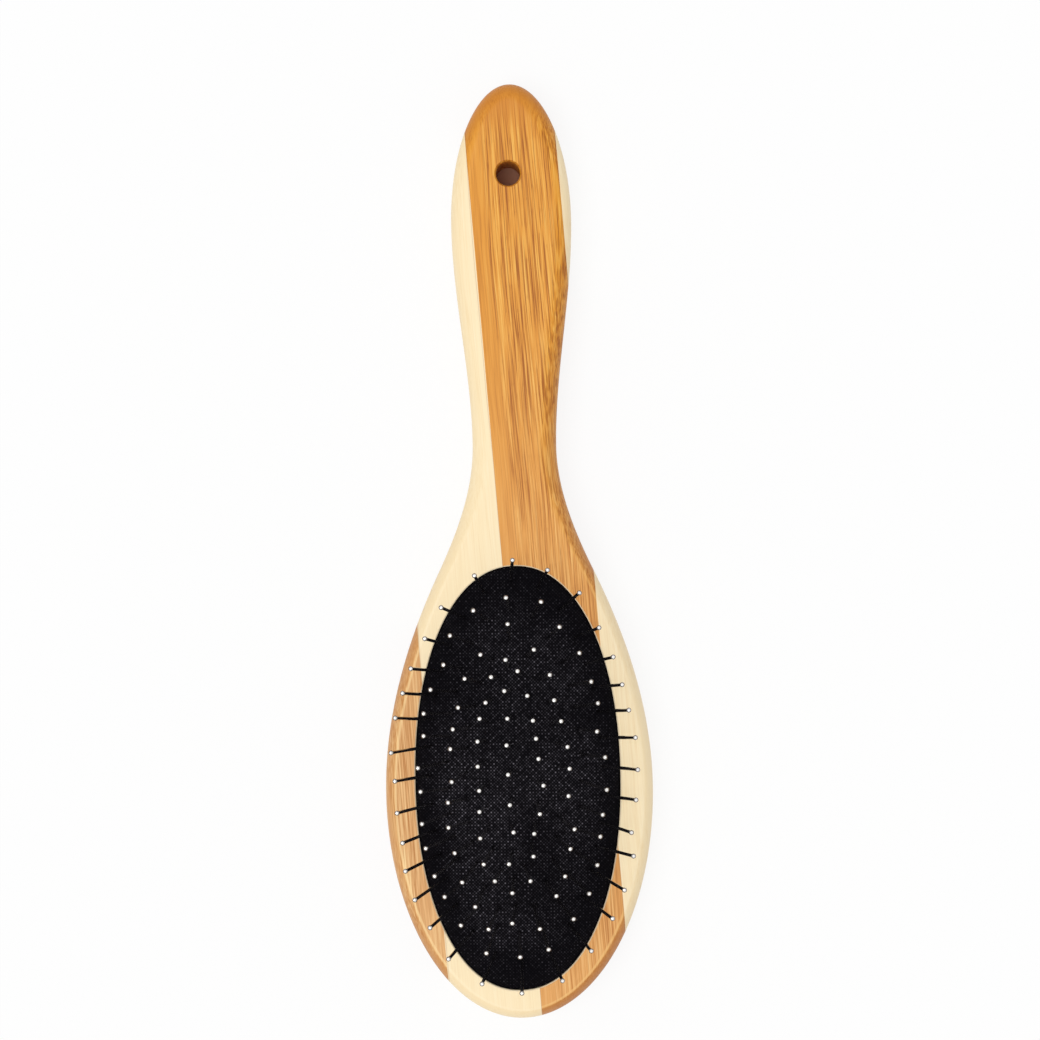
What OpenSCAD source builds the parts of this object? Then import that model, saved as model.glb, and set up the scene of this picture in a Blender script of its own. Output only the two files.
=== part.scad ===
// Pin brush for grooming a dog.
// A paddle of bamboo boards glued side by side at a slant carries an oval, domed cushion.
// Steel pins with ball tips stand square to the dome, in four rings and a centre row.
// The brush lies on its back: the pins point up (+Z) and the handle points to +Y.

/* [Head] */
// Width of the head at its widest place
head_w = 65.8; // [56:0.2:80]
// Length from the widest place to the round end of the head
nose_len = 56.3; // [45:0.1:75]
// Length from the widest place to the middle of the shoulder
shoulder_len = 53.7; // [42:0.1:65]
// Width at the middle of the shoulder
shoulder_w = 38.2; // [32:0.2:46]
// How fast each side closes in at the middle of the shoulder, in mm per mm
shoulder_slope = 0.48; // [0.3:0.01:0.6]

/* [Handle] */
// Length from the middle of the shoulder to the neck
flare_len = 31; // [24:0.5:40]
// Width of the neck, the narrowest place
neck_w = 20.6; // [16:0.2:26]
// Length from the neck to the widest place of the grip
grip_len = 55; // [40:0.5:70]
// Width of the grip at its widest place
grip_w = 29.6; // [24:0.2:36]
// Length from the widest place of the grip to the tip of the handle
tip_len = 34; // [26:0.5:44]

/* [Blank] */
// Thickness of the glued blank
body_t = 15; // [12:0.5:20]
// Width of the eased edge round the head, seen from above
head_edge_w = 2.3; // [1.5:0.1:3.5]
// Width of the eased edge along the handle, seen from above
handle_edge_w = 4; // [2:0.1:5]
// Slope at which the eased edge leaves the face round the head, in degrees
head_crease = 38; // [0:1:45]
// Slope at which the eased edge leaves the face along the handle, in degrees
handle_crease = 8; // [0:1:30]
// Width of one bamboo strip
strip_w = 22.2; // [18:0.1:26]
// Angle between the glue lines and the brush's axis, in degrees
strip_slant = 4.2; // [0:0.1:6]
// Where the left side of the middle strip crosses the middle of the brush
strip_shift = -3.6; // [-6:0.1:-1]

/* [Hang hole] */
// Diameter of the hang hole
hole_d = 6; // [4:0.1:8]
// Distance from the tip of the handle to the hole's centre
hole_from_tip = 22.4; // [18:0.2:28]
// Distance of the hole's centre from the brush's axis
hole_shift = -0.6; // [-1.5:0.1:1.5]
// Chamfer at both mouths of the hole
hole_ease = 0.5; // [0.2:0.1:1]

/* [Pocket] */
// Depth of the air pocket under the cushion
pocket_d = 6; // [5:0.25:8]
// Distance from the head's face down to the groove for the cushion's bead
groove_down = 2; // [1.5:0.1:2.5]
// Height of the groove
groove_h = 2.2; // [1.6:0.1:2.4]
// How far the groove reaches into the wall of the pocket
groove_in = 1.5; // [0.8:0.1:2]
// Clearance between the cushion's rim and its seat
seat_gap = 0.1; // [0.05:0.01:0.3]

/* [Cushion] */
// Wood left between the cushion and each side of the head at its widest place
side_wood = 7.75; // [6:0.05:12]
// Wood left between the cushion and the round end of the head
end_wood = 7.4; // [5:0.1:10]
// How far the cushion reaches past the middle of the shoulder
shoulder_reach = 1.4; // [-5:0.1:3]
// Distance of the cushion's centre from the brush's axis
cushion_shift = -0.35; // [-1.5:0.05:1.5]
// Power of the cushion's oval: 2 is an ellipse, higher is fuller towards the ends
oval_power = 2.14; // [2:0.02:2.4]
// Height of the dome over its edge
dome_h = 6; // [4:0.1:9]
// Power of the dome's curve: higher is flatter in the middle and steeper at the edge
dome_power = 2.8; // [2:0.1:4]
// Thickness of the cloth-faced rubber skin
skin_t = 2; // [1.5:0.1:2.5]

/* [Pins] */
// Diameter of a pin's shaft
pin_d = 0.8; // [0.6:0.05:1.2]
// Height of a pin over the cushion, ball included
pin_len = 20; // [12:0.5:26]
// Diameter of the ball at a pin's tip
ball_d = 1.25; // [1.25:0.05:2]
// Diameter of the flat head that anchors a pin under the skin
anchor_d = 2.4; // [1.8:0.1:3]
// Thickness of the flat head
anchor_t = 0.5; // [0.3:0.05:0.8]
// Clearance between a shaft and its hole in the skin
grip_gap = 0.02; // [0.01:0.01:0.05]
// Clearance between the flat head and the skin over it
anchor_gap = 0.2; // [0.15:0.05:0.4]
// Pins in each ring, from the outer ring inwards
ring_pins = [32, 30, 26, 22]; // [12:1:36]
// Distance from the cushion's edge to the outer ring at the sides
ring_side_margin = 4.1; // [3.5:0.1:6]
// Distance from the cushion's edge to the outer ring at the ends
ring_end_margin = 5.7; // [4:0.1:8]
// Width of the inner ring as a share of the outer ring's
inner_w_share = 0.312; // [0.25:0.001:0.4]
// Length of the inner ring as a share of the outer ring's
inner_l_share = 0.558; // [0.45:0.001:0.65]
// Pins in the centre row
row_pins = 7; // [3:1:9]
// Distance from the last pin of the centre row to the end of the inner ring
row_end_gap = 6; // [4:0.1:8]
// How far the whole pattern sits towards the handle from the cushion's centre
pattern_forward = 2; // [-2:0.1:3]
// How far the whole pattern sits to the side of the cushion's centre
pattern_side = -0.35; // [-1:0.05:1]
// How far each ring sits to the side of the ring outside it
ring_drift = -0.45; // [-0.8:0.05:0.8]
// How far every ring is turned round the oval, in degrees
ring_turn = -1.3; // [-3:0.1:3]
// How far the third ring's pins, apart from its two end pins, sit towards the head's round end
third_ring_drop = 2.6; // [0:0.1:3]
// How much wider the pins stand apart at the ends of a ring, in degrees
end_spread = 12; // [0:0.5:16]
// Second, finer share of the same spread, in degrees
end_spread_fine = 3; // [0:0.1:4]
// Largest lean of a pin away from square to the dome, in degrees
stray_lean = 3.2; // [0:0.1:5]
// Choice of the small leans, in each ring from the outer ring inwards and in the centre row
stray_seed = [393785, 303469, 262599, 271603, 29076]; // [1:1:999999]

/* [Hidden] */

// Colours of the two bamboos, the cushion's cloth and the pins
amber = [0.84, 0.60, 0.34];
pale = [0.96, 0.87, 0.72];
black = [0.09, 0.09, 0.10];
steel = [0.78, 0.79, 0.80];

// Steps of the outlines: the nose, each side and the tip of the paddle, its eased edge, and the oval
nose_steps = 12;
side_steps = 24;
tip_steps = 10;
edge_steps = 4;
oval_steps = 60;
// Sides of a round feature
fine = 32;
// A cut runs this far past the face it opens
over = 1;

// The origin is under the middle of the brush's length, so both ends are equally far
brush_len = nose_len + shoulder_len + flare_len + grip_len + tip_len;
end_y = -brush_len / 2;
wide_y = end_y + nose_len;
shoulder_y = wide_y + shoulder_len;
neck_y = shoulder_y + flare_len;
grip_y = neck_y + grip_len;
tip_y = brush_len / 2;
hole_y = tip_y - hole_from_tip;

// The eased edge stays narrower than the tip's own curve and lower than half the thickness
tip_curve = pow(grip_w / 2, 2) / tip_len;
edge_limit = body_t / 2 - 0.5;

// The oval of the cushion and of its pocket fills the head, apart from the wood left round it
cushion_a = head_w / 2 - side_wood;
cushion_b = (nose_len + shoulder_len - end_wood + shoulder_reach) / 2;
cushion_y = end_y + end_wood + cushion_b;
face_z = body_t;
groove_top = face_z - groove_down;
groove_bottom = groove_top - groove_h;
// The skin's edge lies this far under the wood's face, and rounds off over as much again
edge_dip = 0.5;
// The flat middle of the dome, as a share of the oval
flat_share = 0.1;

// Smooth step from 0 to 1
function ease(t) = let (u = min(1, max(0, t))) u * u * (3 - 2 * u);

// Cubic from width w0 with slope s0 at y0 to width w1 with slope s1 at y1
function cubic(y, y0, w0, s0, y1, w1, s1) =
    let (h = y1 - y0, t = (y - y0) / h)
    w0 * (2 * t * t * t - 3 * t * t + 1) + s0 * h * (t * t * t - 2 * t * t + t)
    + w1 * (3 * t * t - 2 * t * t * t) + s1 * h * (t * t * t - t * t);

// Half width of the paddle between the widest place of the head and that of the grip
function side_w(y) =
    y < shoulder_y ? cubic(y, wide_y, head_w / 2, 0, shoulder_y, shoulder_w / 2, -shoulder_slope)
    : y < neck_y ? cubic(y, shoulder_y, shoulder_w / 2, -shoulder_slope, neck_y, neck_w / 2, 0)
    : cubic(y, neck_y, neck_w / 2, 0, grip_y, grip_w / 2, 0);

// Right side of the paddle, from the round end of the head to the tip of the handle
right_side = concat(
    [for (i = [0 : nose_steps]) let (q = -90 + 90 * i / nose_steps)
        [head_w / 2 * cos(q), wide_y + nose_len * sin(q)]],
    [for (i = [1 : side_steps]) let (y = wide_y + (grip_y - wide_y) * i / side_steps)
        [side_w(y), y]],
    [for (i = [1 : tip_steps]) let (q = 90 * i / tip_steps)
        [grip_w / 2 * cos(q), grip_y + tip_len * sin(q)]]);
last = len(right_side) - 1;
outline = concat(right_side, [for (i = [last - 1 : -1 : 1]) [-right_side[i][0], right_side[i][1]]]);

// Outward direction of the outline at each of its points
function outward(i) =
    let (n = len(outline), a = outline[(i + n - 1) % n], b = outline[(i + 1) % n], d = b - a)
    [d[1], -d[0]] / norm(d);

// Share of the handle's edge at a place along the brush: 0 round the head, 1 along the handle
function handle_share(y) = ease((y - shoulder_y) / flare_len);

// The eased edge is an arc that leaves the face at its crease and ends upright at the side.
// A step of it gives how far in from the side and how far under the face it runs
function edge_step(y, t) =
    let (h = handle_share(y), turn = 90 - head_crease - (handle_crease - head_crease) * h,
         w = min(head_edge_w + (handle_edge_w - head_edge_w) * h, 0.8 * tip_curve),
         r = min(w / (1 - cos(turn)), edge_limit / sin(turn)))
    [r * (1 - cos(turn * t)), r * (sin(turn) - sin(turn * t))];

// One closed loop of the blank, at a step of the eased edge from its side (0) to its face (1)
function blank_loop(t, top) =
    [for (i = [0 : len(outline) - 1])
        let (e = edge_step(outline[i][1], t), q = outline[i] - outward(i) * e[0])
        [q[0], q[1], top ? body_t - e[1] : e[1]]];

// A flat end of a loft: points i and n - i of the loop face each other across it, like rungs
function flat_end(n, at) = concat(
    [[at, at + 1, at + n - 1]],
    [for (i = [1 : n / 2 - 2]) [at + i, at + i + 1, at + n - i - 1, at + n - i]],
    [[at + n / 2 - 1, at + n / 2, at + n / 2 + 1]]);
function flipped(face) = [for (i = [len(face) - 1 : -1 : 0]) face[i]];

// Faces between m loops of n points each, closed with a flat end below and above
function loft_faces(n, m) = concat(
    flat_end(n, 0),
    [for (k = [0 : m - 2]) for (i = [0 : n - 1]) let (j = (i + 1) % n)
        [k * n + i, (k + 1) * n + i, (k + 1) * n + j]],
    [for (k = [0 : m - 2]) for (i = [0 : n - 1]) let (j = (i + 1) % n)
        [k * n + i, (k + 1) * n + j, k * n + j]],
    [for (face = flat_end(n, (m - 1) * n)) flipped(face)]);

module loft(loops) {
    polyhedron([for (l = loops) for (p = l) p], loft_faces(len(loops[0]), len(loops)), convexity = 8);
}

// The paddle before it is drilled and milled, with its edges eased
module blank() {
    loft(concat(
        [for (k = [edge_steps : -1 : 0]) blank_loop(k / edge_steps, false)],
        [for (k = [0 : edge_steps]) blank_loop(k / edge_steps, true)]));
}

// A sine or cosine drawn out, so that the oval is a little fuller towards its ends than an ellipse
function fuller(v) = sign(v) * pow(abs(v), 2 / oval_power);

// Points of an oval, with half width a and half length b
function oval(a, b) =
    [for (i = [0 : oval_steps - 1]) let (q = 360 * i / oval_steps)
        [a * fuller(cos(q)), b * fuller(sin(q))]];

module oval_cut(grow, z0, z1) {
    translate([cushion_shift, cushion_y, z0])
        linear_extrude(z1 - z0)
            polygon(oval(cushion_a + grow, cushion_b + grow));
}

// The pocket and the groove that holds the cushion's bead
module pocket() {
    oval_cut(0, face_z - pocket_d, face_z + over);
    oval_cut(groove_in, groove_bottom, groove_top);
}

// The hang hole with a chamfer at both mouths, turned as one shape
module hang_hole() {
    r = hole_d / 2;
    flare = hole_ease + over;
    translate([hole_shift, hole_y, 0])
        rotate_extrude($fn = fine)
            polygon([[0, -over], [r + flare, -over], [r, hole_ease],
                     [r, body_t - hole_ease], [r + flare, body_t + over], [0, body_t + over]]);
}

// The drilled and milled paddle that the glued strips make together
module paddle() {
    difference() {
        blank();
        pocket();
        hang_hole();
    }
}

// The part of the paddle that lies between two glue lines, counted from the middle strip's left
// side, and between two places along the strip
module strip(from_line, to_line, from_y = -brush_len, to_y = brush_len) {
    intersection() {
        paddle();
        translate([strip_shift, 0, -over])
            rotate(strip_slant)
                translate([from_line * strip_w, from_y, 0])
                    cube([(to_line - from_line) * strip_w, to_y - from_y, body_t + 2 * over]);
    }
}

module amber_edge_strip() {
    color(amber) strip(-3, -1);
}

module pale_left_strip() {
    color(pale) strip(-1, 0);
}

module amber_middle_strip() {
    color(amber) strip(0, 1);
}

// The right-hand board is cut in two where the neck is narrower than the boards beside it
module pale_right_strip() {
    color(pale) strip(1, 3, to_y = neck_y);
}

module pale_grip_sliver() {
    color(pale) strip(1, 3, from_y = neck_y);
}

// Share of the way from the cushion's centre to its edge, at a place counted from the centre
function share(x, y) =
    pow(pow(abs(x) / cushion_a, oval_power) + pow(abs(y) / cushion_b, oval_power), 1 / oval_power);

// Height of the dome over its edge
function dome_z(x, y) = dome_h * (1 - pow(min(1, share(x, y)), dome_power));

// Direction square to the dome, from the slope that each coordinate adds
function pull(v, half) = sign(v) * pow(abs(v) / half, oval_power - 1) / half;
function square_to_dome(x, y) =
    let (g = dome_h * dome_power * pow(max(share(x, y), 0.001), dome_power - oval_power),
         v = [g * pull(x, cushion_a), g * pull(y, cushion_b), 1])
    v / norm(v);

// Loops of the cushion. A loop of the dome has a share of the oval, a rim loop has its own offset
skin_z = face_z - edge_dip;
// The lining turns down into the rim this far under the dome's edge, as a share of the skin
corner_share = 0.63;
function dome_loop(s) =
    [for (p = oval(cushion_a * s, cushion_b * s)) [p[0], p[1], skin_z + dome_z(p[0], p[1])]];
function lining_loop(s) =
    [for (p = oval(cushion_a * s, cushion_b * s))
        let (n = s > flat_share ? square_to_dome(p[0], p[1]) : [0, 0, 1])
        [p[0], p[1], skin_z + dome_z(p[0], p[1])] - skin_t * n];
function rim_loop(grow, z) =
    [for (p = oval(cushion_a + grow, cushion_b + grow)) [p[0], p[1], z]];

module cushion_skin() {
    translate([cushion_shift, cushion_y, 0])
        loft(concat(
            [for (s = [flat_share, 0.3, 0.48, 0.64, 0.78, 0.9]) lining_loop(s)],
            [rim_loop(-skin_t - seat_gap, skin_z - corner_share * skin_t),
             rim_loop(-skin_t - seat_gap, groove_bottom + seat_gap),
             rim_loop(groove_in - seat_gap, groove_bottom + seat_gap),
             rim_loop(groove_in - seat_gap, groove_top - seat_gap),
             rim_loop(-seat_gap, groove_top - seat_gap),
             rim_loop(-seat_gap, skin_z - edge_dip)],
            [for (s = [0.985, 0.96, 0.91, 0.84, 0.74, 0.6, 0.44, 0.27, flat_share]) dome_loop(s)]));
}

// Half width and half length of ring k: the rings share out the way from the outer to the inner one
inner = len(ring_pins) - 1;
function ring_a(k) = (cushion_a - ring_side_margin) * (1 - (1 - inner_w_share) * k / inner);
function ring_b(k) = (cushion_b - ring_end_margin) * (1 - (1 - inner_l_share) * k / inner);

// Places of the pins, counted from the cushion's centre
function spread(t) = t + end_spread * sin(2 * t) + end_spread_fine * sin(4 * t);
function ring_drop(k, i) = k == 2 && i % (ring_pins[k] / 2) != 0 ? third_ring_drop : 0;
function ring_place(k, i) =
    let (q = spread(360 * i / ring_pins[k] + ring_turn))
    [pattern_side + k * ring_drift + ring_a(k) * sin(q),
     pattern_forward - ring_drop(k, i) + ring_b(k) * cos(q)];
function row_place(i) =
    [pattern_side + inner * ring_drift,
     pattern_forward + (ring_b(inner) - row_end_gap) * (2 * i / (row_pins - 1) - 1)];

// Stands its children on the dome, square to it apart from a small lean
module on_dome(p, stray) {
    n = square_to_dome(p[0], p[1]);
    turn = atan2(n[1], n[0]);
    lean = acos(n[2]);
    translate([cushion_shift + p[0], cushion_y + p[1], skin_z + dome_z(p[0], p[1])])
        rotate([stray[0], stray[1], 0])
            rotate([0, lean, turn])
                rotate(-turn)
                    children();
}

module at_ring(k) {
    stray = rands(-stray_lean, stray_lean, 2 * ring_pins[k], stray_seed[k]);
    for (i = [0 : ring_pins[k] - 1])
        on_dome(ring_place(k, i), [stray[2 * i], stray[2 * i + 1]]) children();
}

module at_row() {
    stray = rands(-stray_lean, stray_lean, 2 * row_pins, stray_seed[inner + 1]);
    for (i = [0 : row_pins - 1])
        on_dome(row_place(i), [stray[2 * i], stray[2 * i + 1]]) children();
}

// A pin stands on the dome's surface at z 0: its shaft passes through the skin to its flat head
anchor_z = -skin_t - anchor_gap;
module pin() {
    translate([0, 0, anchor_z - anchor_t]) cylinder(d = anchor_d, h = anchor_t, $fn = fine);
    translate([0, 0, anchor_z - anchor_t / 2])
        cylinder(d = pin_d, h = pin_len - ball_d / 2 - anchor_z + anchor_t / 2, $fn = fine);
    translate([0, 0, pin_len - ball_d / 2]) sphere(d = ball_d, $fn = fine);
}

module pin_hole() {
    translate([0, 0, anchor_z - skin_t]) cylinder(d = pin_d + 2 * grip_gap, h = 4 * skin_t, $fn = fine);
}

module cushion() {
    color(black) difference() {
        cushion_skin();
        for (k = [0 : len(ring_pins) - 1]) at_ring(k) pin_hole();
        at_row() pin_hole();
    }
}

module outer_ring_pins() {
    color(steel) at_ring(0) pin();
}

module second_ring_pins() {
    color(steel) at_ring(1) pin();
}

module third_ring_pins() {
    color(steel) at_ring(2) pin();
}

module inner_ring_pins() {
    color(steel) at_ring(3) pin();
}

module centre_row_pins() {
    color(steel) at_row() pin();
}

amber_edge_strip();
pale_left_strip();
amber_middle_strip();
pale_right_strip();
pale_grip_sliver();
cushion();
outer_ring_pins();
second_ring_pins();
third_ring_pins();
inner_ring_pins();
centre_row_pins();
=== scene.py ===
# %% [markdown]
# A pin brush for grooming a dog.
# The real brush is a paddle sawn from bamboo boards, amber and pale in turn, which are glued side
# by side at a slight slant. An oval cushion of rubber faced with black cloth sits in a pocket of
# the head, and 117 polished steel pins with ball tips stand in it.
# This lesson loads the exact solids as a frame, builds each visible piece in finer form, and gives
# each its finish. Lengths are in mm, and turn to metres when a mesh is made.

# %% The frame
import math

import bmesh
import bpy
import numpy as np
from mathutils import Matrix, Vector


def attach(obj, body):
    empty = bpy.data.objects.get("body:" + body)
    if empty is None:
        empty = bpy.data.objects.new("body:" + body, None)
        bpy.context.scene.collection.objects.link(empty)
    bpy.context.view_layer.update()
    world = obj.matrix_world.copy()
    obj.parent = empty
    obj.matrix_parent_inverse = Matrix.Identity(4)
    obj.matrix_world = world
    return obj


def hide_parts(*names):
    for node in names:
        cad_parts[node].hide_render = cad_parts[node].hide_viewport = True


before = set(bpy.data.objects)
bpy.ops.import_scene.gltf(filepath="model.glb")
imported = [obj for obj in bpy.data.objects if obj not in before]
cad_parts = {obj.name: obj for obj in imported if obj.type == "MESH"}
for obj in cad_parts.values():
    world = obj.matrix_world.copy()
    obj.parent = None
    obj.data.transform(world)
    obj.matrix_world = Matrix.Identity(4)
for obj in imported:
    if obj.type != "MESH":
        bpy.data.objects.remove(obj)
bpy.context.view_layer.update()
MM = 0.001

# %% [markdown]
# The camera.
# The photograph looks straight down on the brush, which is turned by less than a degree. The place
# of the picture's middle and the width that it covers, at the height of the paddle's widest, were
# worked out from the brush's outline. With a usual distance for such a shot, they give the lens.

# %% The camera
PICTURE_WIDTH = 256.4
CAMERA_HEIGHT = 750.0
AIM = (1.10, 7.63, 10.3)
BRUSH_TURN = math.radians(0.85)
BODY_T = 15.0

scene = bpy.context.scene
lens = bpy.data.cameras.new("camera")
lens.sensor_width = 36.0
lens.lens = lens.sensor_width / PICTURE_WIDTH * CAMERA_HEIGHT
lens.clip_start = 0.05
lens.clip_end = 20.0
camera = bpy.data.objects.new("camera", lens)
camera.location = (AIM[0] * MM, AIM[1] * MM, (AIM[2] + CAMERA_HEIGHT) * MM)
camera.rotation_euler = (0, 0, -BRUSH_TURN)
scene.collection.objects.link(camera)
scene.camera = camera
scene.view_settings.view_transform = "Standard"
print("lens, mm:", round(lens.lens, 1))

# %% [markdown]
# Sums in a node tree.
# A material is a graph of nodes, and a long sum in it takes a page of links. A small class holds one
# output socket and overloads Python's operators, so a sum is written as it is read: each operator
# adds one Math node. Every other node goes through one method that takes its type, its settings and
# the values or links of its sockets. Geometry Nodes use the same class.

# %% Wires and trees
def srgb(*levels):
    """Colour from the 0 to 255 levels of a picture, as the linear light that shaders use."""
    parts = [v / 255 for v in levels]
    return tuple(v / 12.92 if v <= 0.04045 else ((v + 0.055) / 1.055) ** 2.4 for v in parts) + (1.0,)


def both_ways(operation):
    """The methods for an operator and for its reflected form, as in 1 - mask."""
    return (lambda self, other: self.maths(operation, self, other),
            lambda self, other: self.maths(operation, other, self))


def of_one(operation):
    return lambda self: self.maths(operation, self)


class Wire:
    """One output socket. Python's operators on it add Math nodes."""

    def __init__(self, tree, socket):
        self.tree, self.socket = tree, socket

    def maths(self, operation, *values, clamp=False):
        return self.tree.add("ShaderNodeMath", {"operation": operation, "use_clamp": clamp}, values)

    __add__, __radd__ = both_ways("ADD")
    __sub__, __rsub__ = both_ways("SUBTRACT")
    __mul__, __rmul__ = both_ways("MULTIPLY")
    __truediv__, __rtruediv__ = both_ways("DIVIDE")
    __pow__, __rpow__ = both_ways("POWER")
    sine, cosine, floor, size = [of_one(word) for word in ("SINE", "COSINE", "FLOOR", "ABSOLUTE")]

    def __neg__(self):
        return self.maths("MULTIPLY", self, -1.0)

    def most(self, other):
        return self.maths("MAXIMUM", self, other)

    def clamped(self):
        return self.maths("ADD", self, 0.0, clamp=True)

    def over(self, low, high):
        """0 below low, 1 above high and a smooth step between them."""
        return self.tree.add("ShaderNodeMapRange", {"interpolation_type": "SMOOTHSTEP"},
                             {0: self, 1: low, 2: high})


class Tree:
    """A node tree that is written as sums."""

    def __init__(self, nodes_and_links):
        self.tree = nodes_and_links

    def add(self, kind, settings=None, sockets=(), out=0):
        """Adds a node. Its settings are set first, then the values or links of its sockets.
        out is the output to go on with, or None at the end of a tree."""
        node = self.tree.nodes.new(kind)
        for name, value in (settings or {}).items():
            if name == "items":
                while len(node.index_switch_items) < value:
                    node.index_switch_items.new()
            else:
                setattr(node, name, value)
        pairs = sockets.items() if isinstance(sockets, dict) else enumerate(sockets)
        for key, value in pairs:
            if isinstance(value, Wire):
                self.tree.links.new(value.socket, node.inputs[key])
            else:
                node.inputs[key].default_value = value
        return None if out is None else Wire(self, node.outputs[out])

    def vector(self, x, y, z):
        return self.add("ShaderNodeCombineXYZ", {}, (x, y, z))

    def parts(self, vector):
        node = self.add("ShaderNodeSeparateXYZ", {}, (vector,)).socket.node
        return [Wire(self, socket) for socket in node.outputs]

    def noise(self, vector, detail=2.0, roughness=0.5):
        """Soft noise from 0 to 1 whose blots are about one unit of the vector wide."""
        return self.add("ShaderNodeTexNoise", {}, {"Vector": vector, "Scale": 1.0, "Detail": detail,
                                                   "Roughness": roughness})

    def blend(self, share, first, second):
        """Colour from first, where share is 0, to second, where it is 1."""
        return self.add("ShaderNodeMix", {"data_type": "RGBA"}, {0: share, 6: first, 7: second}, out=2)


def emptied(block):
    """The tree of a material or a world, with nothing in it."""
    block.use_nodes = True
    block.node_tree.nodes.clear()
    return Tree(block.node_tree)


def new_material(name):
    """A material whose tree holds the Principled shader's node, which the caller feeds."""
    material = bpy.data.materials.new(name)
    tree = emptied(material)
    shader = tree.add("ShaderNodeBsdfPrincipled")
    tree.add("ShaderNodeOutputMaterial", {}, {"Surface": shader}, out=None)
    return material, tree, shader.socket.node


def new_group(name, inputs):
    """A group of Geometry Nodes, its tree, and its inputs as wires. It gives out one geometry."""
    group = bpy.data.node_groups.new(name, "GeometryNodeTree")
    for socket, kind in inputs.items():
        group.interface.new_socket(socket, in_out="INPUT", socket_type="NodeSocket" + kind)
    group.interface.new_socket("Result", in_out="OUTPUT", socket_type="NodeSocketGeometry")
    tree = Tree(group)
    given = tree.add("NodeGroupInput").socket.node.outputs
    return group, tree, [Wire(tree, given[socket]) for socket in inputs]


def feed(shader, **values):
    """Links wires to the shader's sockets, or sets their constants. Names have _ for a space."""
    for name, value in values.items():
        socket = shader.inputs[name.replace("_", " ")]
        if isinstance(value, Wire):
            value.tree.tree.links.new(value.socket, socket)
        else:
            socket.default_value = value


print("helpers ready")

# %% [markdown]
# Light.
# Large soft lamps light the photograph from all round, and a little more from the left: the eased
# edge is as bright as the face there, and darker at the lower right and at the tip. One wide, soft
# sun gives the direction, and an even white sky the rest, so that a level surface's colour comes out
# about as it is written. Rays straight from the camera or off polished metal see plain white, which
# is what a white studio looks like in steel.

# %% Sky and lamp
SKY_LEVEL = 0.60
SUN_LEVEL = 1.36
SUN_FROM = (-0.27, -0.12, 1.0)
SUN_WIDTH = math.radians(40)


def seen_directly(tree):
    """1 for a ray from the camera or one that metal or glass sends on, 0 for other light."""
    path = tree.add("ShaderNodeLightPath").socket.node.outputs
    kinds = ("Is Camera Ray", "Is Glossy Ray", "Is Transmission Ray")
    return sum(Wire(tree, path[kind]) for kind in kinds).clamped()


world = bpy.data.worlds.new("studio")
scene.world = world
sky = emptied(world)
dim = sky.add("ShaderNodeBackground", {}, {"Color": (1, 1, 1, 1), "Strength": SKY_LEVEL})
white = sky.add("ShaderNodeBackground", {}, {"Color": (1, 1, 1, 1), "Strength": 1.0})
both = sky.add("ShaderNodeMixShader", {}, (seen_directly(sky), dim, white))
sky.add("ShaderNodeOutputWorld", {}, {"Surface": both}, out=None)

sun = bpy.data.lights.new("soft_lamp", "SUN")
sun.energy = SUN_LEVEL
sun.angle = SUN_WIDTH
lamp = bpy.data.objects.new("soft_lamp", sun)
lamp.rotation_euler = Vector(SUN_FROM).to_track_quat("Z", "Y").to_euler()
scene.collection.objects.link(lamp)
print("sky", SKY_LEVEL, "lamp", SUN_LEVEL)

# %% [markdown]
# The paddle's outline.
# A bench maker draws it with two ellipse quarters, at the round end of the head and at the tip of
# the handle, joined by smooth curves through the shoulder, the neck and the grip. The same sizes
# made the exact solid. Here the curve is followed in many more steps, so no corner shows.

# %% The outline
HEAD_W, NOSE_LEN = 65.8, 56.3
SHOULDER_LEN, SHOULDER_W, SHOULDER_SLOPE = 53.7, 38.2, 0.48
FLARE_LEN, NECK_W = 31.0, 20.6
GRIP_LEN, GRIP_W = 55.0, 29.6
TIP_LEN = 34.0
BRUSH_LEN = NOSE_LEN + SHOULDER_LEN + FLARE_LEN + GRIP_LEN + TIP_LEN
END_Y = -BRUSH_LEN / 2
WIDE_Y = END_Y + NOSE_LEN
SHOULDER_Y = WIDE_Y + SHOULDER_LEN
NECK_Y = SHOULDER_Y + FLARE_LEN
GRIP_Y = NECK_Y + GRIP_LEN
NOSE_STEPS, SIDE_STEPS, TIP_STEPS = 56, 190, 52


def ease(t):
    u = np.clip(t, 0.0, 1.0)
    return u * u * (3 - 2 * u)


def cubic(y, y0, w0, s0, y1, w1, s1):
    """Cubic from width w0 with slope s0 at y0 to width w1 with slope s1 at y1."""
    h = y1 - y0
    t = (y - y0) / h
    return (w0 * (2 * t**3 - 3 * t**2 + 1) + s0 * h * (t**3 - 2 * t**2 + t)
            + w1 * (3 * t**2 - 2 * t**3) + s1 * h * (t**3 - t**2))


def side_width(y):
    """Half width between the widest place of the head and that of the grip."""
    head = cubic(y, WIDE_Y, HEAD_W / 2, 0, SHOULDER_Y, SHOULDER_W / 2, -SHOULDER_SLOPE)
    flare = cubic(y, SHOULDER_Y, SHOULDER_W / 2, -SHOULDER_SLOPE, NECK_Y, NECK_W / 2, 0)
    grip = cubic(y, NECK_Y, NECK_W / 2, 0, GRIP_Y, GRIP_W / 2, 0)
    return np.where(y < SHOULDER_Y, head, np.where(y < NECK_Y, flare, grip))


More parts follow.
